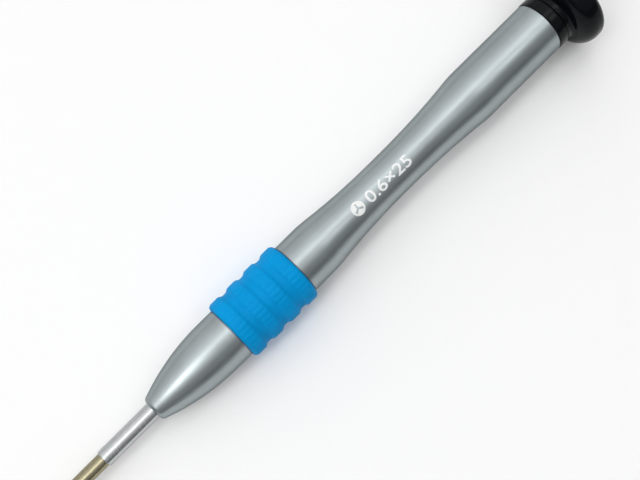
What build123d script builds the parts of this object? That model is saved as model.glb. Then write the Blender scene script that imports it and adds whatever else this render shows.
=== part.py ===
"""Watchmaker screwdriver with a fluted finger grip and a cap that turns on a ball bearing.

Millimetres. The tool's axis is X: the blade points to -X and the cap to +X. The origin is on the
axis at the nose's front face, where the shank comes out of the handle. +Z is up.
"""
from build123d import *
from math import cos, radians, sin
import os

# ---------------------------------------------------------------- driving dimensions

# Fits, all radial or axial gaps
slip_fit = 0.02
running_gap = 0.25
ball_clearance = 0.04
grip_end_gap = 0.1

# Handle barrel
handle_length = 94.9
nose_length = 15.0
nose_face_radius = 2.2
nose_edge_round = 0.8
barrel_radius = 5.0
shoulder_end = 39.2
waist_start = 55.0
waist_end = 58.0
waist_radius = 4.02
rear_start = 76.6
rear_radius = 5.1
rear_edge_round = 0.15
soft_corner_round = 10.0

# Grip sleeve and the shallow seat it sits in
grip_start = 18.2
grip_length = 15.2
grip_seat_depth = 0.3
grip_wall = 0.78
ring_count = 4
ring_pitch = 4.0
ring_height = 0.4
ring_top_width = 2.0
ring_slope_width = 0.5
ring_edge_round = 0.18
flute_count = 36
flute_radius = 0.2
flute_depth = 0.12

# Shank sleeve with a thinner tail inside the handle, blade and three-winged tip
shank_radius = 1.55
shank_reach = 11.3
shank_edge_chamfer = 0.15
tail_radius = 1.2
tail_past_grubs = 3.2
tail_lead_chamfer = 0.2
blade_reach = 25.0
blade_radius = 1.3
blade_socket_depth = 9.5
blade_rod_length = 6.0
blade_taper_length = 3.4
neck_radius = 0.6
tip_size = 0.6
tip_length = 1.6
wing_thickness = 0.22
wing_count = 3
wing_runout_angle = 7.0

# Grub screws that clamp the shank's tail, one from each side
grub_radius = 1.0
grub_length = 3.3
grub_point_chamfer = 0.25
grub_socket_flats = 0.9
grub_socket_depth = 1.2

# End plug, its collar and its threaded insert
collar_radius = 5.2
collar_length = 2.2
collar_edge_round = 0.3
stem_radius = 3.8
stem_length = 11.0
stem_lead_chamfer = 0.4
insert_radius = 1.75
insert_length = 8.0
insert_groove_depth = 0.15
insert_groove_width = 0.6
insert_groove_count = 3

# Shoulder screw and spacer
thread_radius = 1.0
thread_length = 7.0
thread_point_chamfer = 0.2
spacer_radius = 2.1
spacer_length = 1.3
screw_head_radius = 2.1
screw_head_length = 1.1
screw_head_round = 0.25
screw_slot_width = 0.5
screw_slot_depth = 0.45

# Miniature ball bearing, 3 x 6 x 2.5
bearing_bore_radius = 1.5
bearing_outer_radius = 3.0
bearing_width = 2.5
ball_radius = 0.5
ball_count = 7
inner_land_radius = 1.98
outer_land_radius = 2.52
cage_thickness = 0.4
cage_width = 1.3
shield_thickness = 0.14
shield_inset = 0.05
shield_seat_radius = 2.72
shield_gap = 0.08
ring_corner_chamfer = 0.08

# Cap and the finger pad in its end
cap_neck_radius = 4.65
cap_neck_length = 0.3
cap_neck_edge_round = 0.1
rim_radius = 8.45
rim_front_round = 2.95
rim_land = 0.55
rim_rear_round = 1.5
head_hole_radius = 2.5
head_clearance = 0.3
pad_land = 0.95
pad_thickness = 1.0
pad_recess = 0.2
pad_dish_depth = 0.4
pad_dish_land = 0.8
pad_edge_round = 0.15

# ---------------------------------------------------------------- stations along the axis

grip_end = grip_start + grip_length
grip_centre = grip_start + grip_length / 2
seat_radius = barrel_radius - grip_seat_depth
grip_radius = seat_radius + grip_wall
ring_radius = grip_radius + ring_height

shank_mouth = -shank_reach
tail_depth = grip_centre + tail_past_grubs
blade_root = shank_mouth + blade_socket_depth
blade_tip = -blade_reach
rod_end = shank_mouth - blade_rod_length
neck_start = rod_end - blade_taper_length

collar_face = handle_length + collar_length
cap_front = collar_face + running_gap
bearing_front = collar_face + spacer_length
bearing_rear = bearing_front + bearing_width
bearing_middle = (bearing_front + bearing_rear) / 2
screw_head_face = bearing_rear + screw_head_length
pad_floor = screw_head_face + head_clearance
pad_face = pad_floor + pad_thickness
cap_end = pad_face + pad_recess
rim_crown = cap_end - rim_rear_round - rim_land
rim_front = rim_crown - rim_front_round
rim_foot_radius = rim_radius - rim_front_round
pad_radius = rim_radius - rim_rear_round - pad_land
pad_dish_radius = pad_radius - pad_dish_land

shoulder_radius = bearing_bore_radius - slip_fit
ball_pitch_radius = (inner_land_radius + outer_land_radius) / 2
race_radius = ball_radius + ball_clearance
cage_radius = ball_pitch_radius + cage_thickness / 2
ball_angles = [360 * i / ball_count for i in range(ball_count)]

TOLERANCE = 1e-4

# ---------------------------------------------------------------- shared steps


def section_of(front, rear, outer, inner=0.0):
    """Half section of a plain ring or rod, in the plane that holds the axis."""
    with BuildSketch(Plane.XY) as section:
        with Locations(((front + rear) / 2, (outer + inner) / 2)):
            Rectangle(rear - front, outer - inner)
    return section.sketch


def rims(part, station, radius):
    """The circular edges of one radius at one station on the axis."""
    circles = part.edges().filter_by(GeomType.CIRCLE)
    at_station = circles.filter_by(lambda edge: abs(edge.arc_center.X - station) < TOLERANCE)
    return at_station.filter_by(lambda edge: abs(edge.radius - radius) < TOLERANCE)


def radial_plane(station, angle):
    """Plane on the axis whose normal points outward at this angle from +Y towards +Z."""
    outward = (0, cos(radians(angle)), sin(radians(angle)))
    return Plane(origin=(station, 0, 0), x_dir=(1, 0, 0), z_dir=outward)


def save(part, name):
    """Label one finished piece and write its STEP file."""
    part.label = name
    export_step(part, f"parts/{name}.step")


os.makedirs("parts", exist_ok=True)

# ---------------------------------------------------------------- handle

with BuildPart() as handle_barrel:
    with BuildSketch(Plane.XY):
        with BuildLine():
            TangentArc((nose_length, barrel_radius), (0, nose_face_radius), tangent=(-1, 0))
            Polyline(
                (nose_length, barrel_radius),
                (grip_start, barrel_radius),
                (grip_start, seat_radius),
                (grip_end, seat_radius),
                (grip_end, barrel_radius),
                (shoulder_end, barrel_radius),
            )
            TangentArc((waist_start, waist_radius), (shoulder_end, barrel_radius), tangent=(-1, 0))
            Line((waist_start, waist_radius), (waist_end, waist_radius))
            TangentArc((waist_end, waist_radius), (rear_start, rear_radius), tangent=(1, 0))
            Polyline(
                (rear_start, rear_radius),
                (handle_length, rear_radius),
                (handle_length, 0),
                (0, 0),
                (0, nose_face_radius),
            )
        make_face()
    revolve(axis=Axis.X)
    fillet(rims(handle_barrel, shoulder_end, barrel_radius), radius=soft_corner_round)
    fillet(rims(handle_barrel, rear_start, rear_radius), radius=soft_corner_round)
    fillet(rims(handle_barrel, 0, nose_face_radius), radius=nose_edge_round)
    fillet(rims(handle_barrel, handle_length, rear_radius), radius=rear_edge_round)
    # Bore for the shank's tail, from the nose
    with BuildSketch(Plane.YZ):
        Circle(tail_radius)
    extrude(amount=tail_depth, mode=Mode.SUBTRACT)
    # Bore for the plug's stem, from the rear
    with BuildSketch(Plane.YZ.offset(handle_length)):
        Circle(stem_radius)
    extrude(amount=-(stem_length + stem_lead_chamfer), mode=Mode.SUBTRACT)
    # Tapped holes for the grub screws, under the grip
    for side in (90, 270):
        with BuildSketch(radial_plane(grip_centre, side)):
            Circle(grub_radius)
        extrude(amount=barrel_radius, mode=Mode.SUBTRACT)
save(handle_barrel.part, "handle_barrel")

with BuildPart() as grip_sleeve:
    sleeve_front = grip_start + grip_end_gap
    sleeve_rear = grip_end - grip_end_gap
    revolve(section_of(sleeve_front, sleeve_rear, grip_radius, seat_radius), axis=Axis.X)
    half_top = ring_top_width / 2
    half_foot = half_top + ring_slope_width
    for i in range(ring_count):
        station = grip_centre + (i - (ring_count - 1) / 2) * ring_pitch
        with BuildSketch(Plane.XY) as ring_section:
            with BuildLine():
                Polyline(
                    (station - half_foot, seat_radius),
                    (station - half_foot, grip_radius),
                    (station - half_top, ring_radius),
                    (station + half_top, ring_radius),
                    (station + half_foot, grip_radius),
                    (station + half_foot, seat_radius),
                    close=True,
                )
            make_face()
        revolve(ring_section.sketch, axis=Axis.X)
        fillet(rims(grip_sleeve, station - half_top, ring_radius), radius=ring_edge_round)
        fillet(rims(grip_sleeve, station + half_top, ring_radius), radius=ring_edge_round)
    # Fine flutes along the rings; the valleys between the rings lie below them and stay smooth
    with BuildSketch(Plane.YZ.offset(sleeve_front)):
        with PolarLocations(ring_radius + flute_radius - flute_depth, flute_count):
            Circle(flute_radius)
    extrude(amount=sleeve_rear - sleeve_front, mode=Mode.SUBTRACT)
save(grip_sleeve.part, "grip_sleeve")

with BuildPart() as grub_screws:
    for side in (90, 270):
        with BuildSketch(radial_plane(grip_centre, side).offset(tail_radius)):
            Circle(grub_radius)
        extrude(amount=grub_length)
        with BuildSketch(radial_plane(grip_centre, side).offset(tail_radius + grub_length)):
            RegularPolygon(grub_socket_flats / 2, 6, major_radius=False)
        extrude(amount=-grub_socket_depth, mode=Mode.SUBTRACT)
    points = grub_screws.edges().filter_by(GeomType.CIRCLE)
    chamfer(
        points.filter_by(lambda edge: abs(abs(edge.arc_center.Z) - tail_radius) < TOLERANCE),
        length=grub_point_chamfer,
    )
save(grub_screws.part, "grub_screws")

# ---------------------------------------------------------------- shank and blade

with BuildPart() as shank_sleeve:
    # The shoulder where the sleeve meets the tail seats against the nose
    revolve(section_of(shank_mouth, 0, shank_radius), axis=Axis.X)
    chamfer(rims(shank_sleeve, shank_mouth, shank_radius), length=shank_edge_chamfer)
    revolve(section_of(0, tail_depth, tail_radius), axis=Axis.X)
    chamfer(rims(shank_sleeve, tail_depth, tail_radius), length=tail_lead_chamfer)
    with BuildSketch(Plane.YZ.offset(shank_mouth)):
        Circle(blade_radius)
    extrude(amount=blade_socket_depth, mode=Mode.SUBTRACT)
save(shank_sleeve.part, "shank_sleeve")

with BuildPart() as blade:
    with BuildSketch(Plane.XY):
        with BuildLine():
            Polyline(
                (rod_end, blade_radius),
                (blade_root, blade_radius),
                (blade_root, 0),
                (blade_tip, 0),
                (blade_tip, tip_size / 2),
                (blade_tip + tip_length, neck_radius),
                (neck_start, neck_radius),
            )
            TangentArc((neck_start, neck_radius), (rod_end, blade_radius), tangent=(1, 0))
        make_face()
    revolve(axis=Axis.X)
    # Three flutes that leave three wings and run out onto the neck
    half_angle = radians(180 / wing_count)
    web = wing_thickness / 2 / sin(half_angle)
    mouth_depth = neck_radius * 3
    mouth_half_width = mouth_depth * sin(half_angle) / cos(half_angle)
    for i in range(wing_count):
        outward = radial_plane(blade_tip, 360 * i / wing_count).z_dir
        apex = Vector(blade_tip, 0, 0) + outward * web
        runout = Vector(cos(radians(wing_runout_angle)), 0, 0) + outward * sin(radians(wing_runout_angle))
        with BuildSketch(Plane(origin=apex, x_dir=outward, z_dir=runout)):
            with BuildLine():
                Polyline(
                    (0, 0),
                    (mouth_depth, mouth_half_width),
                    (mouth_depth, -mouth_half_width),
                    close=True,
                )
            make_face()
        extrude(amount=tip_length * 2, both=True, mode=Mode.SUBTRACT)
save(blade.part, "blade")

# ---------------------------------------------------------------- plug, insert, screw and spacer

with BuildPart() as end_plug:
    revolve(section_of(handle_length, collar_face, collar_radius), axis=Axis.X)
    fillet(rims(end_plug, handle_length, collar_radius), radius=collar_edge_round)
    fillet(rims(end_plug, collar_face, collar_radius), radius=collar_edge_round)
    stem_front = handle_length - stem_length
    revolve(section_of(stem_front, handle_length, stem_radius), axis=Axis.X)
    chamfer(rims(end_plug, stem_front, stem_radius), length=stem_lead_chamfer)
    with BuildSketch(Plane.YZ.offset(collar_face)):
        Circle(insert_radius)
    extrude(amount=-insert_length, mode=Mode.SUBTRACT)
save(end_plug.part, "end_plug")

with BuildPart() as threaded_insert:
    insert_front = collar_face - insert_length
    revolve(section_of(insert_front, collar_face, insert_radius, thread_radius), axis=Axis.X)
    # Holding grooves round the outside
    for i in range(insert_groove_count):
        middle = insert_front + insert_length * (i + 1) / (insert_groove_count + 1)
        groove_front = middle - insert_groove_width / 2
        groove_floor = insert_radius - insert_groove_depth
        groove = section_of(groove_front, groove_front + insert_groove_width, insert_radius, groove_floor)
        revolve(groove, axis=Axis.X, mode=Mode.SUBTRACT)
save(threaded_insert.part, "threaded_insert")

with BuildPart() as spindle_screw:
    thread_front = collar_face - thread_length
    revolve(section_of(thread_front, collar_face, thread_radius), axis=Axis.X)
    chamfer(rims(spindle_screw, thread_front, thread_radius), length=thread_point_chamfer)
    revolve(section_of(collar_face, bearing_rear, shoulder_radius), axis=Axis.X)
    revolve(section_of(bearing_rear, screw_head_face, screw_head_radius), axis=Axis.X)
    fillet(rims(spindle_screw, screw_head_face, screw_head_radius), radius=screw_head_round)
    with BuildSketch(Plane.YZ.offset(screw_head_face)):
        Rectangle(screw_head_radius * 2, screw_slot_width)
    extrude(amount=-screw_slot_depth, mode=Mode.SUBTRACT)
save(spindle_screw.part, "spindle_screw")

with BuildPart() as spacer_washer:
    revolve(section_of(collar_face, bearing_front, spacer_radius, bearing_bore_radius), axis=Axis.X)
save(spacer_washer.part, "spacer_washer")

# ---------------------------------------------------------------- ball bearing

with BuildSketch(Plane.XY) as race_section:
    with Locations((bearing_middle, ball_pitch_radius)):
        Circle(race_radius)

with BuildPart() as bearing_inner_ring:
    revolve(
        section_of(bearing_front, bearing_rear, inner_land_radius, bearing_bore_radius),
        axis=Axis.X,
    )
    for face_station in (bearing_front, bearing_rear):
        chamfer(rims(bearing_inner_ring, face_station, bearing_bore_radius), length=ring_corner_chamfer)
    revolve(race_section.sketch, axis=Axis.X, mode=Mode.SUBTRACT)
save(bearing_inner_ring.part, "bearing_inner_ring")

with BuildPart() as bearing_outer_ring:
    revolve(
        section_of(bearing_front, bearing_rear, bearing_outer_radius, outer_land_radius),
        axis=Axis.X,
    )
    for face_station in (bearing_front, bearing_rear):
        chamfer(rims(bearing_outer_ring, face_station, bearing_outer_radius), length=ring_corner_chamfer)
    revolve(race_section.sketch, axis=Axis.X, mode=Mode.SUBTRACT)
    # Seats for the two shields
    seat_depth = shield_inset + shield_thickness
    for seat_front in (bearing_front, bearing_rear - seat_depth):
        seat = section_of(seat_front, seat_front + seat_depth, shield_seat_radius, outer_land_radius)
        revolve(seat, axis=Axis.X, mode=Mode.SUBTRACT)
save(bearing_outer_ring.part, "bearing_outer_ring")

shield_bore = inner_land_radius + shield_gap

with BuildPart() as bearing_shield_front:
    front_face = bearing_front + shield_inset
    revolve(
        section_of(front_face, front_face + shield_thickness, shield_seat_radius, shield_bore),
        axis=Axis.X,
    )
save(bearing_shield_front.part, "bearing_shield_front")

with BuildPart() as bearing_shield_rear:
    rear_face = bearing_rear - shield_inset
    revolve(
        section_of(rear_face - shield_thickness, rear_face, shield_seat_radius, shield_bore),
        axis=Axis.X,
    )
save(bearing_shield_rear.part, "bearing_shield_rear")

with BuildPart() as bearing_balls:
    for angle in ball_angles:
        with Locations(radial_plane(bearing_middle, angle).offset(ball_pitch_radius)):
            Sphere(ball_radius)
save(bearing_balls.part, "bearing_balls")

with BuildPart() as bearing_cage:
    cage_front = bearing_middle - cage_width / 2
    cage_ring = section_of(cage_front, cage_front + cage_width, cage_radius, cage_radius - cage_thickness)
    revolve(cage_ring, axis=Axis.X)
    for angle in ball_angles:
        with BuildSketch(radial_plane(bearing_middle, angle)):
            Circle(race_radius)
        extrude(amount=bearing_outer_radius, mode=Mode.SUBTRACT)
save(bearing_cage.part, "bearing_cage")

# ---------------------------------------------------------------- cap

with BuildPart() as cap_shell:
    neck_end = cap_front + cap_neck_length
    with BuildSketch(Plane.XY):
        with BuildLine():
            Polyline(
                (neck_end, cap_neck_radius),
                (cap_front, cap_neck_radius),
                (cap_front, bearing_outer_radius),
                (bearing_rear, bearing_outer_radius),
                (bearing_rear, head_hole_radius),
                (pad_floor, head_hole_radius),
                (pad_floor, pad_radius),
                (cap_end, pad_radius),
                (cap_end, rim_radius),
                (rim_crown, rim_radius),
            )
            # The rim swells out of the neck in two curves that meet in line
            TangentArc((rim_crown, rim_radius), (rim_front, rim_foot_radius), tangent=(-1, 0))
            TangentArc((neck_end, cap_neck_radius), (rim_front, rim_foot_radius), tangent=(1, 0))
        make_face()
    revolve(axis=Axis.X)
    fillet(rims(cap_shell, cap_front, cap_neck_radius), radius=cap_neck_edge_round)
    fillet(rims(cap_shell, cap_end, rim_radius), radius=rim_rear_round)
save(cap_shell.part, "cap_shell")

with BuildPart() as cap_pad:
    revolve(section_of(pad_floor, pad_face, pad_radius), axis=Axis.X)
    fillet(rims(cap_pad, pad_face, pad_radius), radius=pad_edge_round)
    # Shallow dish for the fingertip
    with BuildSketch(Plane.XY) as dish_section:
        with BuildLine():
            ThreePointArc(
                (pad_face, pad_dish_radius),
                (pad_face - pad_dish_depth, 0),
                (pad_face, -pad_dish_radius),
            )
            Line((pad_face, -pad_dish_radius), (pad_face, pad_dish_radius))
        make_face()
        split(bisect_by=Plane.XZ, keep=Keep.TOP)
    revolve(dish_section.sketch, axis=Axis.X, mode=Mode.SUBTRACT)
save(cap_pad.part, "cap_pad")
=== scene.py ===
"""Dressed model of a watchmaker screwdriver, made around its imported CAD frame.

Lengths are in metres. The tool's axis is X: the blade points to -X and the cap to +X, and the origin
is where the shank comes out of the nose.
"""

from math import atan2, cos, floor, hypot, pi, radians, sin, sqrt, tan

import bmesh
import bpy
from mathutils import Matrix, Vector


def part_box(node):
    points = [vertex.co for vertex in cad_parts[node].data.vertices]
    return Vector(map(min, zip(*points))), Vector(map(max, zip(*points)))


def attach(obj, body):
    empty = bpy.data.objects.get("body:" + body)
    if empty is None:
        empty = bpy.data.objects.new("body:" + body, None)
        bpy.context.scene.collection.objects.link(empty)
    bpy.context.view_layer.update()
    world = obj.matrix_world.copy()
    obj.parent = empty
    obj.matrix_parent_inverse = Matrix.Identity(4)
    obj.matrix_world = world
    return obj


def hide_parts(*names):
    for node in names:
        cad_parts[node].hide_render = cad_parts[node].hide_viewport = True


bl_info = {
    "name": "Watchmaker Screwdriver",
    "version": (1, 0, 0),
    "blender": (4, 5, 0),
    "location": "3D View > Sidebar > Screwdriver",
    "description": "Makes the dressed pieces of a watchmaker screwdriver and the stage it lies on",
    "category": "Object",
}

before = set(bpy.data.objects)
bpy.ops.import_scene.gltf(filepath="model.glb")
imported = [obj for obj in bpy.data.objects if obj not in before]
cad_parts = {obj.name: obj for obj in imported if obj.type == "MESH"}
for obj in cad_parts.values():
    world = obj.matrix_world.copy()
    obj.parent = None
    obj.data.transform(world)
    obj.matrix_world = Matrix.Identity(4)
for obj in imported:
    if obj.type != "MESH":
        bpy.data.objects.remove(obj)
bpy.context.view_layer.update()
AXIS = Vector((1, 0, 0))


def reach(node):
    """Front station, rear station and outer radius of a turned CAD node."""
    low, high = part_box(node)
    return low.x, high.x, max(high.y, high.z)


_, HANDLE_REAR, REAR_RADIUS = reach("handle_barrel")
GRIP_FRONT, GRIP_REAR, GRIP_RADIUS = reach("grip_sleeve")
SHANK_MOUTH, TAIL_END, SHANK_RADIUS = reach("shank_sleeve")
BLADE_TIP, BLADE_ROOT, BLADE_RADIUS = reach("blade")
STEM_FRONT, COLLAR_REAR, COLLAR_RADIUS = reach("end_plug")
CAP_FRONT, CAP_REAR, RIM_RADIUS = reach("cap_shell")
PAD_FRONT, PAD_REAR, PAD_RADIUS = reach("cap_pad")
_, BEARING_REAR, BEARING_RADIUS = reach("bearing_outer_ring")


# ---------------------------------------------------------------- settings


def setting(kind, **limits):
    """Makes the short call for one kind of setting that a user may change."""

    def call(name, value, description):
        return kind(name=name, default=value, description=description, **limits)

    return call


length_setting = setting(bpy.props.FloatProperty, unit="LENGTH", precision=5)
place_setting = setting(bpy.props.FloatVectorProperty, size=3, unit="LENGTH", precision=5)
count_setting = setting(bpy.props.IntProperty, min=1)
share_setting = setting(bpy.props.FloatProperty, min=0, max=1)
level_setting = setting(bpy.props.FloatProperty, min=0)
colour_setting = setting(bpy.props.FloatVectorProperty, size=3, subtype="COLOR", min=0, max=1)
text_setting = setting(bpy.props.StringProperty)
radian_setting = setting(bpy.props.FloatProperty, subtype="ANGLE")


def angle_setting(name, degrees, description):
    """An angle that a user may change, given here in degrees."""
    return radian_setting(name, radians(degrees), description)


class HandleSettings(bpy.types.PropertyGroup):
    """Sizes of the turned handle."""

    nose_length: length_setting("Nose length", 0.015, "Rounded nose, from the face to the barrel")
    nose_radius: length_setting("Nose radius", 0.0022, "Radius of the nose at its face")
    nose_round: length_setting("Nose edge", 0.00055, "Reach of the nose's rounded front edge")
    barrel_radius: length_setting("Barrel radius", 0.005, "Radius beside the grip")
    seat_radius: length_setting("Grip seat radius", 0.0047, "Radius of the seat under the grip")
    seat_gap: length_setting("Grip seat gap", 0.0001, "Gap at each end of the grip")
    shoulder_end: length_setting("Shoulder", 0.0392, "Station where the waist starts to fall")
    waist_start: length_setting("Waist start", 0.055, "Station where the waist is slimmest")
    waist_end: length_setting("Waist end", 0.058, "Station where the waist starts to rise")
    waist_radius: length_setting("Waist radius", 0.00402, "Radius at the slimmest stretch")
    rear_start: length_setting("Rear barrel", 0.0766, "Station where the rear barrel starts")
    corner_blend: length_setting("Corner blend", 0.0011, "Reach of the soft corners of the waist")
    rear_round: length_setting("Rear edge", 0.00015, "Rounding of the rear edge")


class GripSettings(bpy.types.PropertyGroup):
    """Sizes of the fluted finger grip."""

    rings: count_setting("Rings", 4, "Raised rings along the grip")
    pitch: length_setting("Pitch", 0.004, "Distance from one ring to the next")
    height: length_setting("Ring height", 0.0004, "How far a ring stands over the valleys")
    top: length_setting("Ring top", 0.002, "Width of a ring's top")
    slope: length_setting("Ring slope", 0.0005, "Length of a ring's sloping side")
    edge: length_setting("Ring edge", 0.0003, "Rounding of the rings' edges")
    flutes: count_setting("Flutes", 36, "Flutes round each ring")
    flute_width: length_setting("Flute width", 0.0006, "Width of a flute's soft hollow")
    flute_depth: length_setting("Flute depth", 0.00007, "Depth of a flute")
    steps_per_flute: count_setting("Steps per flute", 12, "Mesh steps across one flute")


class ShankSettings(bpy.types.PropertyGroup):
    """Sizes of the shank sleeve and the blade."""

    mouth_round: length_setting("Mouth edge", 0.00015, "Rounding of the sleeve's mouth")
    tail_radius: length_setting("Tail radius", 0.0012, "Radius of the tail inside the handle")
    rod_length: length_setting("Rod length", 0.006, "Blade's full thickness ahead of the sleeve")
    taper_length: length_setting("Taper length", 0.0034, "Hollow taper from the rod to the neck")
    neck_radius: length_setting("Neck radius", 0.0006, "Radius of the thin neck")
    tip_radius: length_setting("Tip radius", 0.0003, "Half the size of the tip")
    tip_length: length_setting("Tip length", 0.0016, "Length of the tapered tip")
    wing_thickness: length_setting("Wing thickness", 0.00022, "Thickness of the tip's three wings")
    runout: angle_setting("Flute run-out", 7, "How steeply the tip's flutes run out on the neck")


class CapSettings(bpy.types.PropertyGroup):
    """Sizes of the collar, the round-edged cap and its finger pad."""

    collar_round: length_setting("Collar edge", 0.0003, "Rounding of the collar's edges")
    stem_radius: length_setting("Stem radius", 0.0038, "Radius of the plug inside the handle")
    neck_radius: length_setting("Neck radius", 0.00465, "Radius of the cap's neck")
    neck_length: length_setting("Neck length", 0.0003, "Straight neck before the cap swells")
    rim_front_round: length_setting("Rim front", 0.00295, "Rounding of the rim towards the handle")
    rim_land: length_setting("Rim land", 0.00055, "Straight land round the widest part of the rim")
    rim_rear_round: length_setting("Rim rear", 0.0015, "Rounding of the rim towards the fingertip")
    screw_hole: length_setting("Screw hole", 0.0025, "Radius of the hole round the screw's head")
    insert_radius: length_setting("Insert radius", 0.00175, "Radius of the insert's hole")
    insert_length: length_setting("Insert length", 0.008, "Depth of the insert's hole")
    pad_round: length_setting("Pad edge", 0.00015, "Rounding of the finger pad's edge")
    dish_radius: length_setting("Dish radius", 0.0052, "Radius of the dish in the finger pad")
    dish_depth: length_setting("Dish depth", 0.0004, "Depth of the dish in the finger pad")
    dish_rings: count_setting("Dish rings", 4, "Fine rings in the dish")
    dish_ring_depth: length_setting("Dish ring depth", 0.00005, "Depth of a fine ring")


class MarkSettings(bpy.types.PropertyGroup):
    """The size mark printed on the handle."""

    symbol_start: length_setting("Symbol", 0.04655, "Station where the tip symbol starts")
    symbol_size: length_setting("Symbol size", 0.0026, "Width of the tip symbol")
    arm_width: length_setting("Arm width", 0.00036, "Width of the symbol's three arms")
    arm_length: length_setting("Arm length", 0.00095, "Length of the symbol's three arms")
    numbers: text_setting("Numbers", "0.6×25", "Tip size and blade reach in millimetres")
    numbers_start: length_setting("Numbers start", 0.05005, "Station where the numbers start")
    numbers_length: length_setting("Numbers length", 0.0103, "Length of the line of numbers")
    numbers_height: length_setting("Numbers height", 0.0022, "Height of the figures")
    boldness: share_setting("Boldness", 0.012, "How much the figures' strokes are thickened")
    turn: angle_setting("Turn", -12.3, "Turn of the mark about the axis, from the top of the handle")
    lift: length_setting("Ink lift", 0.000012, "How far the ink stands on the metal")


class FinishSettings(bpy.types.PropertyGroup):
    """Colours of the finishes."""

    handle: colour_setting("Handle", (0.371, 0.413, 0.426), "Satin silver of the handle")
    grip: colour_setting("Grip", (0.0007, 0.281, 0.637), "Blue of the finger grip")
    steel: colour_setting("Steel", (0.541, 0.565, 0.568), "Polished steel of the shank")
    gold: colour_setting("Gold", (0.363, 0.330, 0.219), "Dull gold coating of the blade")
    black: colour_setting("Black", (0.0018, 0.0027, 0.0033), "Glossy black of the collar and cap")
    pad: colour_setting("Pad", (0.018, 0.018, 0.019), "Matt black of the finger pad")
    ink: colour_setting("Ink", (0.93, 0.94, 0.94), "White ink of the size mark")
    brass: colour_setting("Brass", (0.72, 0.55, 0.25), "Brass of the insert and the cage")
    works: colour_setting("Works", (0.55, 0.55, 0.56), "Steel of the screws and the bearing")
    floor: colour_setting("Floor", (0.90, 0.90, 0.90), "Pale paper of the floor")


class StageSettings(bpy.types.PropertyGroup):
    """Camera, floor and soft boxes. A box leans to the far side, or to the near one below zero."""

    aim: place_setting("Aim", (0.04005, 0.00057, 0.0001), "Point that the camera looks at")
    distance: length_setting("Distance", 0.2023, "From the camera to the aim")
    elevation: angle_setting("Elevation", 75.71, "Height of the camera over the floor")
    heading: angle_setting("Heading", 45.35, "Turn of the view away from straight across the tool")
    lens: level_setting("Lens", 66.375, "Focal length in millimetres")
    floor_size: length_setting("Floor size", 6.0, "Width of the floor")
    key_level: level_setting("Key level", 2.39, "Brightness of the long narrow soft box over the tool")
    key_lean: angle_setting("Key lean", 6, "Lean of the key box")
    nose_level: level_setting("Nose level", 2.65, "Brightness of the short soft box ahead of the nose")
    nose_lean: angle_setting("Nose lean", -1, "Lean of the nose box")
    shoulder_level: level_setting("Shoulder level", 1.12, "Brightness of the box beside the key box")
    shoulder_lean: angle_setting("Shoulder lean", 29, "Lean of the box beside the key box")
    side_level: level_setting("Side level", 0.76, "Brightness of the soft box low at the far side")
    side_lean: angle_setting("Side lean", 62, "Lean of the side box")
    rear_level: level_setting("Rear level", 2.0, "Brightness of the short soft box past the cap")
    rear_lean: angle_setting("Rear lean", -17, "Lean of the rear box")
    front_level: level_setting("Front level", 0.69, "Brightness of the soft box at the near side")
    front_lean: angle_setting("Front lean", -18, "Lean of the front box")
    fill_level: level_setting("Fill level", 0.25, "Brightness of the dim box low at the near side")
    fill_lean: angle_setting("Fill lean", -48, "Lean of the fill box")
    room_level: level_setting("Room level", 0.12, "Brightness of the plain room around the stage")
    floor_lift: share_setting("Floor lift", 0.04, "White added to the floor as it is seen")


# ---------------------------------------------------------------- mesh steps

TURN_STEPS = 192  # faces round the handle, the collar, the cap and the pad
CORNER_STEPS = 5  # faces across a rounded corner
SHARP_ANGLE = radians(32)  # an edge that turns further than this stays sharp
FINE_EDGE = 0.0001  # rounding of the edges that lie beside another piece
WING_ANGLE = pi / 3  # half the angle from one of the tip's three wings to the next
TINY = 1e-7


def tangent_angle(direction):
    """Angle of a direction in the outline's plane."""
    return atan2(direction.y, direction.x)


def arc(start, end, tangent, steps):
    """Points after start on the arc that leaves it along the tangent and comes to end."""
    start = Vector(start)
    chord = Vector(end) - start
    lean = tangent_angle(chord) - tangent_angle(Vector(tangent))
    lean = (lean + pi) % (2 * pi) - pi
    radius = chord.length / (2 * sin(lean))
    points = []
    for i in range(1, steps + 1):
        half_turn = lean * i / steps
        direction = tangent_angle(Vector(tangent)) + half_turn
        reach_so_far = 2 * radius * sin(half_turn)
        points.append(start + Vector((cos(direction), sin(direction))) * reach_so_far)
    return [tuple(point) for point in points]


def outline_wire(corners, closed):
    """A bmesh wire through corners given as (station, radius) or (station, radius, rounding)."""
    bm = bmesh.new()
    verts = [bm.verts.new((corner[0], 0, corner[1])) for corner in corners]
    pairs = list(zip(verts, verts[1:]))
    if closed:
        pairs.append((verts[-1], verts[0]))
    for pair in pairs:
        bm.edges.new(pair)
    for vert, corner in zip(verts, corners):
        if len(corner) > 2:
            bmesh.ops.bevel(
                bm, geom=[vert], offset=corner[2], offset_type="OFFSET", segments=CORNER_STEPS,
                profile=0.5, affect="VERTICES", material=-1,
            )
    return bm


def split_wire(bm, front, rear, step):
    """Cuts the wire's edges between two stations into pieces no longer than a step."""
    for edge in list(bm.edges):
        stations = sorted(vert.co.x for vert in edge.verts)
        if stations[0] >= front - TINY and stations[1] <= rear + TINY:
            cuts = int(edge.calc_length() / step)
            if cuts:
                bmesh.ops.subdivide_edges(bm, edges=[edge], cuts=cuts)


def turn(bm, steps):
    """Spins a wire about the tool's axis into a closed skin."""
    wire = bm.verts[:] + bm.edges[:]
    bmesh.ops.spin(bm, geom=wire, cent=(0, 0, 0), axis=AXIS, angle=2 * pi, steps=steps, use_merge=True)
    on_axis = [vert for vert in bm.verts if hypot(vert.co.y, vert.co.z) < TINY]
    bmesh.ops.remove_doubles(bm, verts=on_axis, dist=TINY)
    bmesh.ops.recalc_face_normals(bm, faces=bm.faces)


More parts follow.
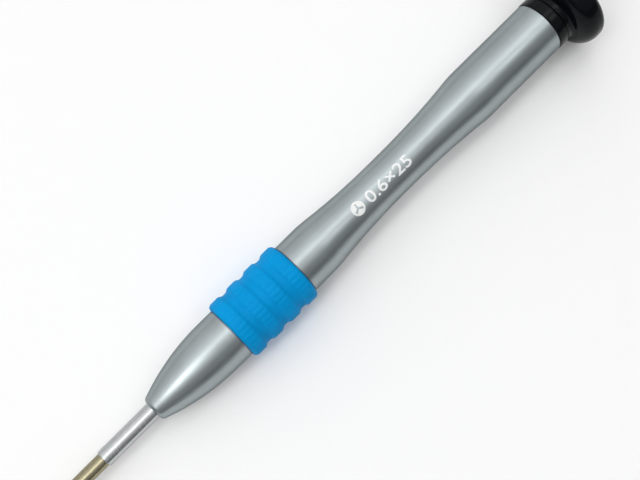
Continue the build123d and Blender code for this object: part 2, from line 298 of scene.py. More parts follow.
def new_object(name, data):
    """An object of this data, in the scene."""
    made = bpy.data.objects.new(name, data)
    bpy.context.scene.collection.objects.link(made)
    return made


def mesh_object(name, bm, material):
    """The object of a bmesh, in one material."""
    mesh = bpy.data.meshes.new(name)
    bm.to_mesh(mesh)
    bm.free()
    mesh.materials.append(material)
    return new_object(name, mesh)


def mesh_piece(name, bm, material):
    """Makes the finished piece of a bmesh, smooth but for its sharp edges."""
    for face in bm.faces:
        face.smooth = True
    for edge in bm.edges:
        edge.smooth = len(edge.link_faces) == 2 and edge.calc_face_angle() < SHARP_ANGLE
    piece = mesh_object(name, bm, material)
    piece.modifiers.new("Even shading", "WEIGHTED_NORMAL").keep_sharp = True
    return piece


def turned_piece(name, corners, material, closed=False, steps=TURN_STEPS):
    """Makes the finished piece that an outline turns into."""
    bm = outline_wire(corners, closed)
    turn(bm, steps)
    return mesh_piece(name, bm, material)


def dress(piece, body, node):
    """Lets a piece ride on its body and stand for its CAD node, which it hides."""
    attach(piece, body)
    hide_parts(node)


# ---------------------------------------------------------------- materials


class Wiring:
    """Short calls for the nodes of a material or of the room."""

    def __init__(self, tree):
        self.nodes = tree.nodes
        self.links = tree.links

    def ramp(self, socket, low, high, start=0.0, end=1.0):
        """Maps a socket's stretch from start to end onto low to high, and holds it there beyond."""
        node = self.nodes.new("ShaderNodeMapRange")
        node.inputs["From Min"].default_value = start
        node.inputs["From Max"].default_value = end
        node.inputs["To Min"].default_value = low
        node.inputs["To Max"].default_value = high
        self.links.new(socket, node.inputs["Value"])
        return node.outputs["Result"]

    def maths(self, operation, first, second):
        """One Math node over two sockets or numbers."""
        node = self.nodes.new("ShaderNodeMath")
        node.operation = operation
        for socket, value in zip(node.inputs, (first, second)):
            if isinstance(value, (int, float)):
                socket.default_value = value
            else:
                self.links.new(value, socket)
        return node.outputs["Value"]

    def split(self, vector):
        """A vector's three parts."""
        node = self.nodes.new("ShaderNodeSeparateXYZ")
        self.links.new(vector, node.inputs["Vector"])
        return node.outputs

    def sharpened(self, socket, start, end):
        """0 up to the start of a socket's stretch, 1 past its end and in between along it."""
        return self.ramp(socket, 0, 1, start, end)

    def seen(self):
        """1 where the background is looked at or mirrored, 0 for the light it would throw."""
        rays = self.nodes.new("ShaderNodeLightPath").outputs
        mirrored = self.maths("MAXIMUM", rays["Is Glossy Ray"], rays["Is Transmission Ray"])
        return self.maths("MAXIMUM", rays["Is Camera Ray"], mirrored)


# A Mix node's colour sockets go by number, because its sockets for other kinds have the same names.
MIX_FIRST, MIX_SECOND, MIX_RESULT = 6, 7, 2


class Finish(Wiring):
    """A material with a Principled shader and the patterns that feed it."""

    def __init__(self, name):
        self.material = bpy.data.materials.new(name)
        self.material.use_nodes = True
        super().__init__(self.material.node_tree)
        self.shader = self.nodes["Principled BSDF"]
        self.place = self.nodes.new("ShaderNodeTexCoord").outputs["Object"]

    def set(self, **values):
        """Sets the shader's own sockets, named with underscores for spaces."""
        for name, value in values.items():
            self.shader.inputs[name.replace("_", " ")].default_value = value

    def feed(self, name, socket):
        """Links a socket to one of the shader's inputs."""
        self.links.new(socket, self.shader.inputs[name])

    def stretched(self, scale):
        """Object coordinates scaled by a different amount along each axis."""
        mapping = self.nodes.new("ShaderNodeMapping")
        mapping.inputs["Scale"].default_value = scale
        self.links.new(self.place, mapping.inputs["Vector"])
        return mapping.outputs["Vector"]

    def noise(self, size, detail, vector=None):
        """Noise whose spots are about this size, with this much finer detail in them."""
        node = self.nodes.new("ShaderNodeTexNoise")
        node.inputs["Scale"].default_value = 1 / size
        node.inputs["Detail"].default_value = detail
        self.links.new(vector or self.place, node.inputs["Vector"])
        return node.outputs["Fac"]

    def blend(self, amount, first, second):
        """A colour between two, each a colour or a socket."""
        node = self.nodes.new("ShaderNodeMix")
        node.data_type = "RGBA"
        self.links.new(amount, node.inputs["Factor"])
        for index, value in ((MIX_FIRST, first), (MIX_SECOND, second)):
            if isinstance(value, bpy.types.NodeSocket):
                self.links.new(value, node.inputs[index])
            else:
                node.inputs[index].default_value = (*value, 1)
        return node.outputs[MIX_RESULT]

    def shades(self, amount, colour, first, second):
        """A colour that goes from one factor of itself to another."""
        return self.blend(amount, tinted(colour, first), tinted(colour, second))

    def distance(self, scale=(1, 1, 1)):
        """How far the point lies from the origin, once scaled along each axis."""
        node = self.nodes.new("ShaderNodeVectorMath")
        node.operation = "LENGTH"
        self.links.new(self.stretched(scale), node.inputs["Vector"])
        return node.outputs["Value"]

    def distance_from_axis(self):
        """How far the point lies from the tool's axis."""
        return self.distance((0, 1, 1))

    def bump(self, height, depth):
        """Raises the surface by a height from 0 to 1 times a depth."""
        node = self.nodes.new("ShaderNodeBump")
        node.inputs["Distance"].default_value = depth
        self.links.new(height, node.inputs["Height"])
        self.feed("Normal", node.outputs["Normal"])


EDGE_TINT = (0.35, 0.35, 0.35, 1)  # dulls what metal mirrors at a grazing angle


def tinted(colour, factor):
    """A colour made lighter or darker by a factor."""
    return tuple(min(1.0, channel * factor) for channel in colour)


def satin_handle(colour):
    """Satin silver metal: fine blasted grain, faint cloudiness and small handling marks."""
    finish = Finish("satin_handle")
    finish.set(Metallic=1.0, Specular_Tint=EDGE_TINT)
    grain = finish.noise(size=0.00012, detail=4)
    clouds = finish.noise(size=0.006, detail=3)
    rubbed = finish.noise(size=0.0016, detail=5, vector=finish.stretched((0.25, 1, 1)))
    half_grain = finish.maths("MULTIPLY", grain, 0.5)
    mottled = finish.maths("ADD", half_grain, finish.maths("MULTIPLY", clouds, 0.5))
    tint = finish.sharpened(mottled, start=0.35, end=0.65)
    finish.feed("Base Color", finish.shades(tint, colour, 0.93, 1.06))
    blasted = finish.ramp(mottled, low=0.32, high=0.38, start=0.3, end=0.7)
    worn = finish.ramp(rubbed, low=0, high=0.05, start=0.5, end=0.75)
    finish.feed("Roughness", finish.maths("SUBTRACT", blasted, worn))
    finish.bump(grain, depth=0.0000016)
    return finish.material


def soft_grip(colour):
    """Soft blue grip: matt moulded rubber, smoother on the ribs that fingers touch, and paler on the
    ribs' tops than in the valleys.
    """
    finish = Finish("soft_grip")
    finish.set(Specular_IOR_Level=0.05)
    rib_depth = 0.0005
    grain = finish.noise(size=0.00009, detail=3)
    clouds = finish.noise(size=0.004, detail=3)
    crest = finish.sharpened(finish.distance_from_axis(), GRIP_RADIUS - rib_depth, GRIP_RADIUS)
    skin = finish.shades(finish.sharpened(clouds, start=0.35, end=0.65), colour, 0.92, 1.04)
    # The rib tops are made paler than the valleys by their distance from the axis.
    paled = finish.maths("MULTIPLY", crest, 0.5)
    finish.feed("Base Color", finish.blend(paled, skin, tinted(colour, 1.12)))
    moulded = finish.ramp(grain, low=0.50, high=0.62)
    finish.feed("Roughness", finish.maths("SUBTRACT", moulded, finish.maths("MULTIPLY", crest, 0.08)))
    finish.bump(grain, depth=0.000006)
    return finish.material


def polished_steel(colour):
    """Polished shank: near-mirror steel with very fine lathe lines round it."""
    finish = Finish("polished_steel")
    finish.set(Metallic=1.0, Specular_Tint=EDGE_TINT)
    lines = finish.noise(size=0.00004, detail=2, vector=finish.stretched((1, 0.02, 0.02)))
    clouds = finish.noise(size=0.0015, detail=3)
    finish.feed("Base Color", finish.shades(clouds, colour, 0.94, 1.05))
    polish = finish.ramp(lines, low=0.20, high=0.27)
    finish.feed("Roughness", finish.maths("ADD", polish, finish.ramp(clouds, low=0, high=0.05)))
    finish.bump(lines, depth=0.00000012)
    return finish.material


def gold_blade(colour):
    """Dull gold coating over steel that was polished lengthwise, worn to steel near the tip."""
    finish = Finish("gold_blade")
    finish.set(Metallic=1.0, Specular_Tint=EDGE_TINT)
    worn_length = 0.0022
    bare_steel = (0.55, 0.54, 0.51)
    streaks = finish.noise(size=0.00006, detail=3, vector=finish.stretched((0.05, 1, 1)))
    clouds = finish.noise(size=0.0012, detail=4)
    coat = finish.shades(finish.sharpened(streaks, start=0.3, end=0.7), colour, 0.85, 1.1)
    station = finish.split(finish.place)["X"]
    near_tip = finish.ramp(station, low=1, high=0, start=BLADE_TIP, end=BLADE_TIP + worn_length)
    worn = finish.maths("MULTIPLY", near_tip, finish.sharpened(clouds, start=0.42, end=0.58))
    finish.feed("Base Color", finish.blend(worn, coat, bare_steel))
    polish = finish.ramp(streaks, low=0.20, high=0.28)
    finish.feed("Roughness", finish.maths("ADD", polish, finish.ramp(clouds, low=0, high=0.06)))
    finish.bump(streaks, depth=0.0000008)
    return finish.material


def gloss_black(colour):
    """Glossy black: smooth lacquered plastic with faint haze and hairline marks."""
    finish = Finish("gloss_black")
    finish.set(Specular_IOR_Level=0.11)
    haze = finish.noise(size=0.0022, detail=4)
    hairs = finish.noise(size=0.00005, detail=2, vector=finish.stretched((1, 0.06, 0.06)))
    finish.feed("Base Color", finish.shades(haze, colour, 1, 2))
    gloss = finish.ramp(haze, low=0.10, high=0.20)
    finish.feed("Roughness", finish.maths("ADD", gloss, finish.ramp(hairs, low=0, high=0.05)))
    finish.bump(finish.noise(size=0.0008, detail=2), depth=0.000001)
    return finish.material


def matt_pad(colour):
    """Matt black finger pad with a fine moulded grain, polished a little in the middle by use."""
    finish = Finish("matt_pad")
    grain = finish.noise(size=0.00015, detail=3)
    rubbed = finish.ramp(finish.distance_from_axis(), low=1, high=0, start=0, end=PAD_RADIUS)
    finish.feed("Base Color", finish.shades(grain, colour, 1, 1.7))
    moulded = finish.ramp(grain, low=0.42, high=0.58)
    finish.feed("Roughness", finish.maths("SUBTRACT", moulded, finish.maths("MULTIPLY", rubbed, 0.12)))
    finish.bump(grain, depth=0.000008)
    return finish.material


def white_ink(colour):
    """Thin white print, a little uneven where it lies on the grain of the metal."""
    finish = Finish("white_ink")
    grain = finish.noise(size=0.00012, detail=4)
    tint = finish.sharpened(grain, start=0.4, end=0.6)
    finish.feed("Base Color", finish.shades(tint, colour, 1, 0.86))
    finish.feed("Roughness", finish.ramp(grain, low=0.35, high=0.5))
    return finish.material


def turned_metal(name, colour, roughness):
    """Plain turned metal of the works inside: fine rings from the tool, a film of oil."""
    finish = Finish(name)
    finish.set(Metallic=1.0)
    lines = finish.noise(size=0.00005, detail=2, vector=finish.stretched((1, 0.03, 0.03)))
    oil = finish.noise(size=0.0009, detail=4)
    finish.feed("Base Color", finish.shades(oil, colour, 0.86, 1.08))
    cut = finish.ramp(lines, low=roughness, high=roughness + 0.1)
    finish.feed("Roughness", finish.maths("ADD", cut, finish.ramp(oil, low=0, high=0.08)))
    finish.bump(lines, depth=0.000001)
    return finish.material


# ---------------------------------------------------------------- pieces


def waist_radius_at(settings, station):
    """The handle's radius at a station on its waist."""
    if station < settings.waist_start:
        run = settings.waist_start - settings.shoulder_end
        rise = settings.barrel_radius - settings.waist_radius
        along = settings.waist_start - station
    else:
        run = settings.rear_start - settings.waist_end
        rise = REAR_RADIUS - settings.waist_radius
        along = max(0.0, station - settings.waist_end)
    radius = (run * run + rise * rise) / (2 * rise)
    return settings.waist_radius + radius - sqrt(radius * radius - along * along)


class SCREWDRIVER_OT_handle(bpy.types.Operator):
    """Turns the silver handle: nose, grip seat, waist and rear barrel, bored for what it holds"""

    bl_idname = "screwdriver.handle"
    bl_label = "Handle"

    def execute(self, context):
        sizes = context.scene.screwdriver_handle
        shank = context.scene.screwdriver_shank
        cap = context.scene.screwdriver_cap
        barrel = sizes.barrel_radius
        waist = sizes.waist_radius
        seat_front = GRIP_FRONT - sizes.seat_gap
        seat_rear = GRIP_REAR + sizes.seat_gap
        nose = arc((sizes.nose_length, barrel), (0, sizes.nose_radius), (-1, 0), steps=24)
        front_flank = arc((sizes.waist_start, waist), (sizes.shoulder_end, barrel), (-1, 0), steps=14)
        rear_flank = arc((sizes.waist_end, waist), (sizes.rear_start, REAR_RADIUS), (1, 0), steps=16)
        corners = [(TAIL_END, 0), (TAIL_END, shank.tail_radius), (0, shank.tail_radius)]
        corners.append((0, sizes.nose_radius, sizes.nose_round))
        corners += nose[-2::-1]
        corners += [
            (sizes.nose_length, barrel),
            (seat_front, barrel, FINE_EDGE),
            (seat_front, sizes.seat_radius),
            (seat_rear, sizes.seat_radius),
            (seat_rear, barrel, FINE_EDGE),
            (sizes.shoulder_end, barrel, sizes.corner_blend),
        ]
        corners += front_flank[-2::-1]
        corners += [(sizes.waist_start, waist), (sizes.waist_end, waist)]
        corners += rear_flank[:-1]
        corners += [
            (sizes.rear_start, REAR_RADIUS, sizes.corner_blend),
            (HANDLE_REAR, REAR_RADIUS, sizes.rear_round),
            (HANDLE_REAR, cap.stem_radius),
            (STEM_FRONT, cap.stem_radius),
            (STEM_FRONT, 0),
        ]
        metal = satin_handle(context.scene.screwdriver_finish.handle)
        piece = turned_piece("turned_handle", corners, metal)
        dress(piece, "handle", "handle_barrel")
        return {"FINISHED"}


def press_flutes(bm, sizes):
    """Presses soft flutes into the rings, fading out down the rings' sides."""
    valley = GRIP_RADIUS - sizes.height
    for vert in bm.verts:
        radius = hypot(vert.co.y, vert.co.z)
        turns = atan2(vert.co.z, vert.co.y) / (2 * pi) * sizes.flutes
        aside = (turns - floor(turns + 0.5)) * 2 * pi / sizes.flutes * radius
        standing = (radius - valley) / sizes.height
        if abs(aside) < sizes.flute_width / 2 and standing > 0:
            hollow = 0.5 + 0.5 * cos(2 * pi * aside / sizes.flute_width)
            pressed = 1 - sizes.flute_depth * hollow * standing / radius
            vert.co.y *= pressed
            vert.co.z *= pressed


class SCREWDRIVER_OT_grip(bpy.types.Operator):
    """Moulds the blue finger grip: four fluted rings with smooth valleys between them"""

    bl_idname = "screwdriver.grip"
    bl_label = "Finger grip"

    def execute(self, context):
        sizes = context.scene.screwdriver_grip
        seat = context.scene.screwdriver_handle.seat_radius
        middle = (GRIP_FRONT + GRIP_REAR) / 2
        valley = GRIP_RADIUS - sizes.height
        corners = [(GRIP_FRONT, seat)]
        for i in range(sizes.rings):
            centre = middle + (i - (sizes.rings - 1) / 2) * sizes.pitch
            half_top = sizes.top / 2
            half_foot = half_top + sizes.slope
            corners += [
                (centre - half_foot, valley, sizes.edge),
                (centre - half_top, GRIP_RADIUS, sizes.edge),
                (centre + half_top, GRIP_RADIUS, sizes.edge),
                (centre + half_foot, valley, sizes.edge),
            ]
        corners.append((GRIP_REAR, seat))
        bm = outline_wire(corners, closed=True)
        turn(bm, steps=sizes.flutes * sizes.steps_per_flute)
        press_flutes(bm, sizes)
        piece = mesh_piece("fluted_grip", bm, soft_grip(context.scene.screwdriver_finish.grip))
        dress(piece, "handle", "grip_sleeve")
        return {"FINISHED"}


class SCREWDRIVER_OT_shank(bpy.types.Operator):
    """Turns the polished shank sleeve, with the socket that holds the blade"""

    bl_idname = "screwdriver.shank"
    bl_label = "Shank sleeve"

    def execute(self, context):
        sizes = context.scene.screwdriver_shank
        corners = [
            (BLADE_ROOT, 0),
            (BLADE_ROOT, BLADE_RADIUS),
            (SHANK_MOUTH, BLADE_RADIUS),
            (SHANK_MOUTH, SHANK_RADIUS, sizes.mouth_round),
            (0, SHANK_RADIUS),
            (0, sizes.tail_radius),
            (TAIL_END, sizes.tail_radius, sizes.mouth_round),
            (TAIL_END, 0),
        ]
        steel = polished_steel(context.scene.screwdriver_finish.steel)
        piece = turned_piece("shank", corners, steel, steps=96)
        dress(piece, "handle", "shank_sleeve")
        return {"FINISHED"}


def flute_web(sizes):
    """How far from the axis two flutes meet at the very tip."""
    return sizes.wing_thickness / 2 / sin(WING_ANGLE)


def cut_wings(bm, sizes, flute_end):
    """Cuts three flutes between the tip's wings, running out onto the neck."""
    for vert in bm.verts:
        radius = hypot(vert.co.y, vert.co.z)
        if radius < TINY or vert.co.x > flute_end:
            continue
        apex = flute_web(sizes) + (vert.co.x - BLADE_TIP) * tan(sizes.runout)
        turns = atan2(vert.co.z, vert.co.y) / (2 * WING_ANGLE)
        aside = abs(turns - floor(turns + 0.5)) * 2 * WING_ANGLE
        wall = apex * sin(WING_ANGLE) / max(TINY, sin(WING_ANGLE - aside))
        if radius > wall:
            vert.co.y *= wall / radius
            vert.co.z *= wall / radius


class SCREWDRIVER_OT_blade(bpy.types.Operator):
    """Makes the gold-coated blade: rod, hollow taper, thin neck and three-winged tip"""

    bl_idname = "screwdriver.blade"
    bl_label = "Blade"

    def execute(self, context):
        sizes = context.scene.screwdriver_shank
        rod_end = SHANK_MOUTH - sizes.rod_length
        neck_start = rod_end - sizes.taper_length
        tip_end = BLADE_TIP + sizes.tip_length
        flute_end = BLADE_TIP + (sizes.neck_radius - flute_web(sizes)) / tan(sizes.runout)
        taper = arc((neck_start, sizes.neck_radius), (rod_end, BLADE_RADIUS), (1, 0), steps=12)
        corners = [
            (BLADE_TIP, 0),
            (BLADE_TIP, sizes.tip_radius),
            (tip_end, sizes.neck_radius),
            (flute_end, sizes.neck_radius),
            (neck_start, sizes.neck_radius),
        ]
        corners += taper[:-1]
        corners += [
            (rod_end, BLADE_RADIUS, FINE_EDGE),
            (BLADE_ROOT, BLADE_RADIUS, FINE_EDGE),
            (BLADE_ROOT, 0),
        ]
        bm = outline_wire(corners, closed=False)
        split_wire(bm, BLADE_TIP, flute_end, step=0.00008)
        turn(bm, steps=144)
        cut_wings(bm, sizes, flute_end)
        piece = mesh_piece("gold_blade", bm, gold_blade(context.scene.screwdriver_finish.gold))
        dress(piece, "handle", "blade")
        return {"FINISHED"}


class SCREWDRIVER_OT_collar(bpy.types.Operator):
    """Turns the black plug that closes the handle, whose collar shows behind it"""

    bl_idname = "screwdriver.collar"
    bl_label = "Collar"

    def execute(self, context):
        sizes = context.scene.screwdriver_cap
        insert_front = COLLAR_REAR - sizes.insert_length
        corners = [
            (insert_front, 0),
            (insert_front, sizes.insert_radius),
            (COLLAR_REAR, sizes.insert_radius),
            (COLLAR_REAR, COLLAR_RADIUS, sizes.collar_round),
            (HANDLE_REAR, COLLAR_RADIUS, sizes.collar_round),
            (HANDLE_REAR, sizes.stem_radius),
            (STEM_FRONT, sizes.stem_radius, sizes.collar_round),
            (STEM_FRONT, 0),
        ]
        black = gloss_black(context.scene.screwdriver_finish.black)
        piece = turned_piece("collar_plug", corners, black)
        dress(piece, "handle", "end_plug")
        return {"FINISHED"}


class SCREWDRIVER_OT_cap(bpy.types.Operator):
    """Turns the round-edged black cap that spins under the fingertip"""

    bl_idname = "screwdriver.cap"
    bl_label = "Cap"

    def execute(self, context):
        sizes = context.scene.screwdriver_cap
        neck_end = (CAP_FRONT + sizes.neck_length, sizes.neck_radius)
        rear_edge = (CAP_REAR - sizes.rim_rear_round, RIM_RADIUS)
        crown = (rear_edge[0] - sizes.rim_land, RIM_RADIUS)
        foot = (crown[0] - sizes.rim_front_round, RIM_RADIUS - sizes.rim_front_round)
        corners = [
            (BEARING_REAR, BEARING_RADIUS),
            (CAP_FRONT, BEARING_RADIUS),
            (CAP_FRONT, sizes.neck_radius, FINE_EDGE),
            neck_end,
        ]
        corners += arc(neck_end, foot, (1, 0), steps=10)
        corners += arc(foot, crown, (0, 1), steps=30)
        corners.append(rear_edge)
        corners += arc(rear_edge, (CAP_REAR, RIM_RADIUS - sizes.rim_rear_round), (1, 0), steps=18)
        corners += [
            (CAP_REAR, PAD_RADIUS, FINE_EDGE),
            (PAD_FRONT, PAD_RADIUS),
            (PAD_FRONT, sizes.screw_hole),
            (BEARING_REAR, sizes.screw_hole),
        ]
        colour = context.scene.screwdriver_finish.black
        black = bpy.data.materials.get("gloss_black") or gloss_black(colour)
        piece = turned_piece("rounded_cap", corners, black, closed=True)
        dress(piece, "cap", "cap_shell")
        return {"FINISHED"}


class SCREWDRIVER_OT_pad(bpy.types.Operator):
    """Makes the dished finger pad in the end of the cap, with fine rings for hold"""

    bl_idname = "screwdriver.pad"
    bl_label = "Finger pad"

    def execute(self, context):
        sizes = context.scene.screwdriver_cap
        corners = [(PAD_FRONT, 0), (PAD_FRONT, PAD_RADIUS), (PAD_REAR, PAD_RADIUS, sizes.pad_round)]
        dish_steps = 60
        for i in range(dish_steps + 1):
            share = 1 - i / dish_steps
            ripple = 0.5 - 0.5 * cos(2 * pi * share * sizes.dish_rings)
            depth = sizes.dish_depth * (1 - share * share) + sizes.dish_ring_depth * ripple
            corners.append((PAD_REAR - depth, sizes.dish_radius * share))
        piece = turned_piece("finger_pad", corners, matt_pad(context.scene.screwdriver_finish.pad))
        dress(piece, "cap", "cap_pad")
        return {"FINISHED"}


INK_SINK = 2  # how many lifts the ink reaches into the metal, so that no gap shows under it


def flat_mark(name, curve):
    """The bmesh of a flat curve or text."""
    holder = new_object(name, curve)
    shown = holder.evaluated_get(bpy.context.evaluated_depsgraph_get())
    mesh = bpy.data.meshes.new_from_object(shown)
    bpy.data.objects.remove(holder)
    bm = bmesh.new()
    bm.from_mesh(mesh)
    bpy.data.meshes.remove(mesh)
    bmesh.ops.remove_doubles(bm, verts=bm.verts, dist=TINY)
    return bm


def place_flat(bm, start, length, height):
    """Scales a flat mesh to a length and height, its left edge at start and its middle on the axis."""
    low = Vector([min(vert.co[i] for vert in bm.verts) for i in range(2)])
    high = Vector([max(vert.co[i] for vert in bm.verts) for i in range(2)])
    for vert in bm.verts:
        vert.co.x = start + (vert.co.x - low.x) / (high.x - low.x) * length
        vert.co.y = ((vert.co.y - low.y) / (high.y - low.y) - 0.5) * height


def slice_mesh(bm, step):
    """Cuts a flat mesh into strips no wider than a step, both ways."""
    for axis in (AXIS, Vector((0, 1, 0))):
        reaches = [vert.co.dot(axis) for vert in bm.verts]
        low, high = min(reaches), max(reaches)
        count = int((high - low) / step)
        for i in range(1, count + 1):
            point = axis * (low + (high - low) * i / (count + 1))
            geom = bm.verts[:] + bm.edges[:] + bm.faces[:]
            bmesh.ops.bisect_plane(bm, geom=geom, dist=TINY, plane_co=point, plane_no=axis)


def thicken_flat(bm, thickness):
    """Gives a flat mesh a thickness, from z = 0 up."""
    made = bmesh.ops.extrude_face_region(bm, geom=bm.faces[:])
    top = [item for item in made["geom"] if isinstance(item, bmesh.types.BMVert)]
    bmesh.ops.translate(bm, verts=top, vec=(0, 0, thickness))
    bmesh.ops.recalc_face_normals(bm, faces=bm.faces)


def wrap_on_handle(bm, handle, turn_angle, sink):
    """Wraps a flat mesh round the handle: its height becomes an angle, its z a height over the metal."""
    for vert in bm.verts:
        surface = waist_radius_at(handle, vert.co.x)
        angle = turn_angle + vert.co.y / surface
        radius = surface - sink + vert.co.z
        vert.co.y = radius * sin(angle)
        vert.co.z = radius * cos(angle)


def around(radius, angle):
    """The flat point at a radius and an angle round the origin."""
    return Vector((cos(angle), sin(angle))) * radius


def symbol_curve(sizes):
    """A disc with a three-armed opening, as a flat curve."""
    disc_points = 64
    disc = [around(sizes.symbol_size / 2, 2 * pi * i / disc_points) for i in range(disc_points)]
    half_width = sizes.arm_width / 2
    arms = []
    for i in range(3):
        outward = pi / 2 + i * 2 * WING_ANGLE
        arm_end = around(sizes.arm_length, outward)
        aside = around(half_width, outward + pi / 2)
        valley = around(half_width / sin(WING_ANGLE), outward + WING_ANGLE)
        arms += [arm_end - aside, arm_end + aside, valley]
    curve = bpy.data.curves.new("tip_symbol", "CURVE")
    curve.dimensions = "2D"
    curve.fill_mode = "BOTH"
    for points in (disc, arms):
        spline = curve.splines.new("POLY")
        spline.points.add(len(points) - 1)
        for target, point in zip(spline.points, points):
            target.co = (*point, 0, 1)
        spline.use_cyclic_u = True
    return curve


class SCREWDRIVER_OT_mark(bpy.types.Operator):
    """Prints the white size mark on the waist: a three-armed tip symbol and plain numbers"""

    bl_idname = "screwdriver.mark"
    bl_label = "Size mark"

    def execute(self, context):
        sizes = context.scene.screwdriver_mark
        handle = context.scene.screwdriver_handle
        ink = white_ink(context.scene.screwdriver_finish.ink)
        text = bpy.data.curves.new("size_numbers", "FONT")
        text.body = sizes.numbers
        text.offset = sizes.boldness
        spots = (
            (symbol_curve(sizes), sizes.symbol_start, sizes.symbol_size, sizes.symbol_size),
            (text, sizes.numbers_start, sizes.numbers_length, sizes.numbers_height),
        )
        for curve, start, length, height in spots:
            name = curve.name
            bm = flat_mark(name, curve)
            place_flat(bm, start, length, height)
            slice_mesh(bm, step=0.00025)
            thicken_flat(bm, sizes.lift * (INK_SINK + 1))
            wrap_on_handle(bm, handle, sizes.turn, sizes.lift * INK_SINK)
            piece = mesh_piece(name, bm, ink)
            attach(piece, "handle")
        return {"FINISHED"}


class SCREWDRIVER_OT_works(bpy.types.Operator):
    """Gives the CAD pieces inside the handle and the cap their metal finishes"""

    bl_idname = "screwdriver.works"
    bl_label = "Works inside"

    def execute(self, context):
        colours = context.scene.screwdriver_finish
        screws = turned_metal("screw_steel", tinted(colours.works, 0.8), roughness=0.28)
        bearing = turned_metal("bearing_steel", colours.works, roughness=0.12)
        brass = turned_metal("turned_brass", colours.brass, roughness=0.24)
        finishes = (
            (screws, ("grub_screws", "spindle_screw", "spacer_washer")),
            (brass, ("threaded_insert", "bearing_cage")),
            (bearing, ("bearing_inner_ring", "bearing_outer_ring", "bearing_balls")),
            (bearing, ("bearing_shield_front", "bearing_shield_rear")),
        )
        for material, nodes in finishes:
            for node in nodes:
                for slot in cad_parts[node].material_slots:
                    slot.material = material
        return {"FINISHED"}


# ---------------------------------------------------------------- stage

RIM_REST = 0.0018  # from the cap's rear end to the widest part of its rim
RING_REST = 0.0006  # from the grip's front end to the top of its front ring
FAR_WHITE = 0.96  # brightness of the floor and the room far off, as they are seen


def placed(place, x_axis, y_axis, z_axis):
    """The matrix that puts something at a place, with its own axes along these."""
    return Matrix.Translation(place) @ Matrix((x_axis, y_axis, z_axis)).transposed().to_4x4()


def floor_plane():
    """A point on the floor and its normal: the tool lies on its grip's front ring and its cap's rim."""
    rim = Vector((CAP_REAR - RIM_REST, 0, -RIM_RADIUS))
    ring = Vector((GRIP_FRONT + RING_REST, 0, -GRIP_RADIUS))
    normal = (rim - ring).cross(Vector((0, 1, 0))).normalized()
    if normal.z < 0:
        normal.negate()
    return rim, normal


def paper_floor(colour, lift):
    """Pale matt paper with a faint fibre grain, seen whiter than it lights, and white far off."""
    finish = Finish("pale_paper")
    finish.set(Roughness=0.9, Specular_IOR_Level=0.1, Emission_Color=(1, 1, 1, 1))
    paper = finish.shades(finish.noise(size=0.0012, detail=4), colour, 1, 1.02)
    far = finish.sharpened(finish.distance(), start=0.3, end=1.1)
    finish.feed("Base Color", finish.blend(far, paper, (0, 0, 0)))
    glow = finish.ramp(far, low=lift, high=FAR_WHITE)
    finish.feed("Emission Strength", finish.maths("MULTIPLY", finish.seen(), glow))
    return finish.material


def lay_floor(colour, sizes, contact, axes):
    """Lays the floor through the point where the tool touches it, along the stage's axes."""
    bm = bmesh.new()
    bmesh.ops.create_grid(bm, x_segments=1, y_segments=1, size=sizes.floor_size / 2)
    bmesh.ops.transform(bm, matrix=placed(contact, *axes), verts=bm.verts)
    ground = mesh_object("floor", bm, paper_floor(colour, sizes.floor_lift))


def hang_box(name, level, lean, axes, distance, width, station=-0.25, length=2.6):
    """Hangs an even soft box at a lean over a station of the axis, facing that station."""
    _, across, normal = axes
    offset = (normal * cos(lean) + across * sin(lean)) * distance
    direction = offset.normalized()
    lengthwise = (AXIS - direction * AXIS.dot(direction)).normalized()
    lamp = bpy.data.lights.new(name, "AREA")
    lamp.shape = "RECTANGLE"
    lamp.size = length
    lamp.size_y = width
    lamp.energy = level * width * length * pi  # the power that gives its face this level
    place = Vector((station, 0, 0)) + offset
    turned = placed(place, lengthwise, direction.cross(lengthwise), direction)
    new_object(name, lamp).matrix_world = turned


def plain_room(level):
    """A plain grey room around the stage, seen white low down where the floor ends."""
    world = bpy.data.worlds.new("plain_room")
    world.use_nodes = True
    room = Wiring(world.node_tree)
    background = room.nodes["Background"]
    background.inputs["Color"].default_value = (1, 1, 1, 1)
    height = room.split(room.nodes.new("ShaderNodeTexCoord").outputs["Generated"])["Z"]
    low_down = room.ramp(height, low=1, high=0, start=0.035, end=0.06)
    white = room.maths("MULTIPLY", room.seen(), low_down)
    room.links.new(room.ramp(white, low=level, high=FAR_WHITE), background.inputs["Strength"])
    bpy.context.scene.world = world


def set_camera(sizes, axes):
    """Sets the camera at its distance, heading and elevation from its aim."""
    along, across, normal = axes
    heading = along * sin(sizes.heading) + across * cos(sizes.heading)
    forward = heading * cos(sizes.elevation) - normal * sin(sizes.elevation)
    right = forward.cross(normal).normalized()
    lens = bpy.data.cameras.new("camera")
    lens.lens = sizes.lens
    lens.clip_start = 0.001
    camera = new_object("camera", lens)
    place = Vector(sizes.aim) - forward * sizes.distance
    camera.matrix_world = placed(place, right, right.cross(forward), -forward)
    bpy.context.scene.camera = camera


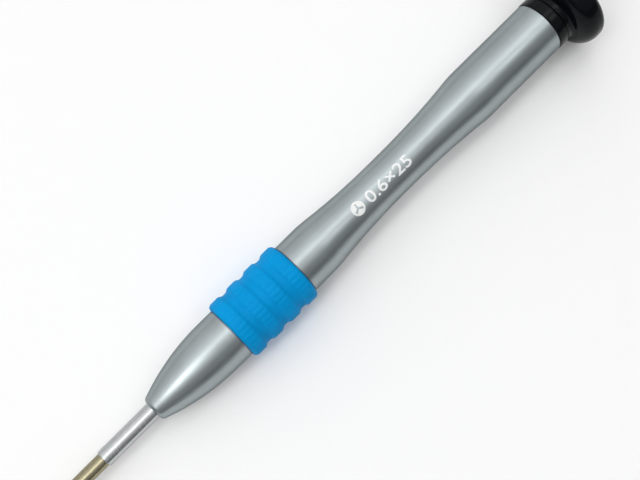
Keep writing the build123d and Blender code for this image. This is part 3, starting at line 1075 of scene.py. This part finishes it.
class SCREWDRIVER_OT_stage(bpy.types.Operator):
    """Sets out the pale floor, the soft light and the camera"""

    bl_idname = "screwdriver.stage"
    bl_label = "Stage"

    def execute(self, context):
        sizes = context.scene.screwdriver_stage
        contact, normal = floor_plane()
        along = (AXIS - normal * AXIS.dot(normal)).normalized()
        axes = (along, normal.cross(along), normal)
        lay_floor(context.scene.screwdriver_finish.floor, sizes, contact, axes)
        # How each soft box hangs. Its level and lean are settings that start with its name.
        boxes = (
            ("key", {"distance": 1.0, "width": 0.28}),
            ("nose", {"distance": 1.0, "width": 0.4, "station": -0.5, "length": 0.6}),
            ("shoulder", {"distance": 1.1, "width": 0.54}),
            ("side", {"distance": 1.2, "width": 0.8}),
            ("rear", {"distance": 0.95, "width": 0.24, "station": 0.47, "length": 0.3}),
            ("front", {"distance": 1.04, "width": 0.48}),
            ("fill", {"distance": 1.1, "width": 0.66}),
        )
        for name, measures in boxes:
            level = getattr(sizes, f"{name}_level")
            lean = getattr(sizes, f"{name}_lean")
            hang_box(f"{name}_box", level, lean, axes, **measures)
        plain_room(sizes.room_level)
        set_camera(sizes, axes)
        context.scene.view_settings.view_transform = "Standard"
        return {"FINISHED"}


# ---------------------------------------------------------------- add-on

SETTINGS = {
    "screwdriver_handle": HandleSettings,
    "screwdriver_grip": GripSettings,
    "screwdriver_shank": ShankSettings,
    "screwdriver_cap": CapSettings,
    "screwdriver_mark": MarkSettings,
    "screwdriver_finish": FinishSettings,
    "screwdriver_stage": StageSettings,
}

OPERATORS = (
    SCREWDRIVER_OT_handle,
    SCREWDRIVER_OT_grip,
    SCREWDRIVER_OT_shank,
    SCREWDRIVER_OT_blade,
    SCREWDRIVER_OT_collar,
    SCREWDRIVER_OT_cap,
    SCREWDRIVER_OT_pad,
    SCREWDRIVER_OT_mark,
    SCREWDRIVER_OT_works,
    SCREWDRIVER_OT_stage,
)


class SCREWDRIVER_PT_pieces(bpy.types.Panel):
    """Lists the pieces in the order they are made"""

    bl_idname = "SCREWDRIVER_PT_pieces"
    bl_label = "Screwdriver"
    bl_space_type = "VIEW_3D"
    bl_region_type = "UI"
    bl_category = "Screwdriver"

    def draw(self, context):
        column = self.layout.column()
        for operator in OPERATORS:
            column.operator(operator.bl_idname)


def register():
    """Registers the settings, the operators and the panel."""
    for name, group in SETTINGS.items():
        bpy.utils.register_class(group)
        setattr(bpy.types.Scene, name, bpy.props.PointerProperty(type=group))
    for operator in OPERATORS:
        bpy.utils.register_class(operator)
    bpy.utils.register_class(SCREWDRIVER_PT_pieces)


def unregister():
    """Takes out what register put in, last first."""
    bpy.utils.unregister_class(SCREWDRIVER_PT_pieces)
    for operator in reversed(OPERATORS):
        bpy.utils.unregister_class(operator)
    for name, group in reversed(SETTINGS.items()):
        delattr(bpy.types.Scene, name)
        bpy.utils.unregister_class(group)


def main():
    """Makes every piece and the stage."""
    register()
    bpy.ops.screwdriver.handle()
    bpy.ops.screwdriver.grip()
    bpy.ops.screwdriver.shank()
    bpy.ops.screwdriver.blade()
    bpy.ops.screwdriver.collar()
    bpy.ops.screwdriver.cap()
    bpy.ops.screwdriver.pad()
    bpy.ops.screwdriver.mark()
    bpy.ops.screwdriver.works()
    bpy.ops.screwdriver.stage()


if __name__ == "__main__":
    main()
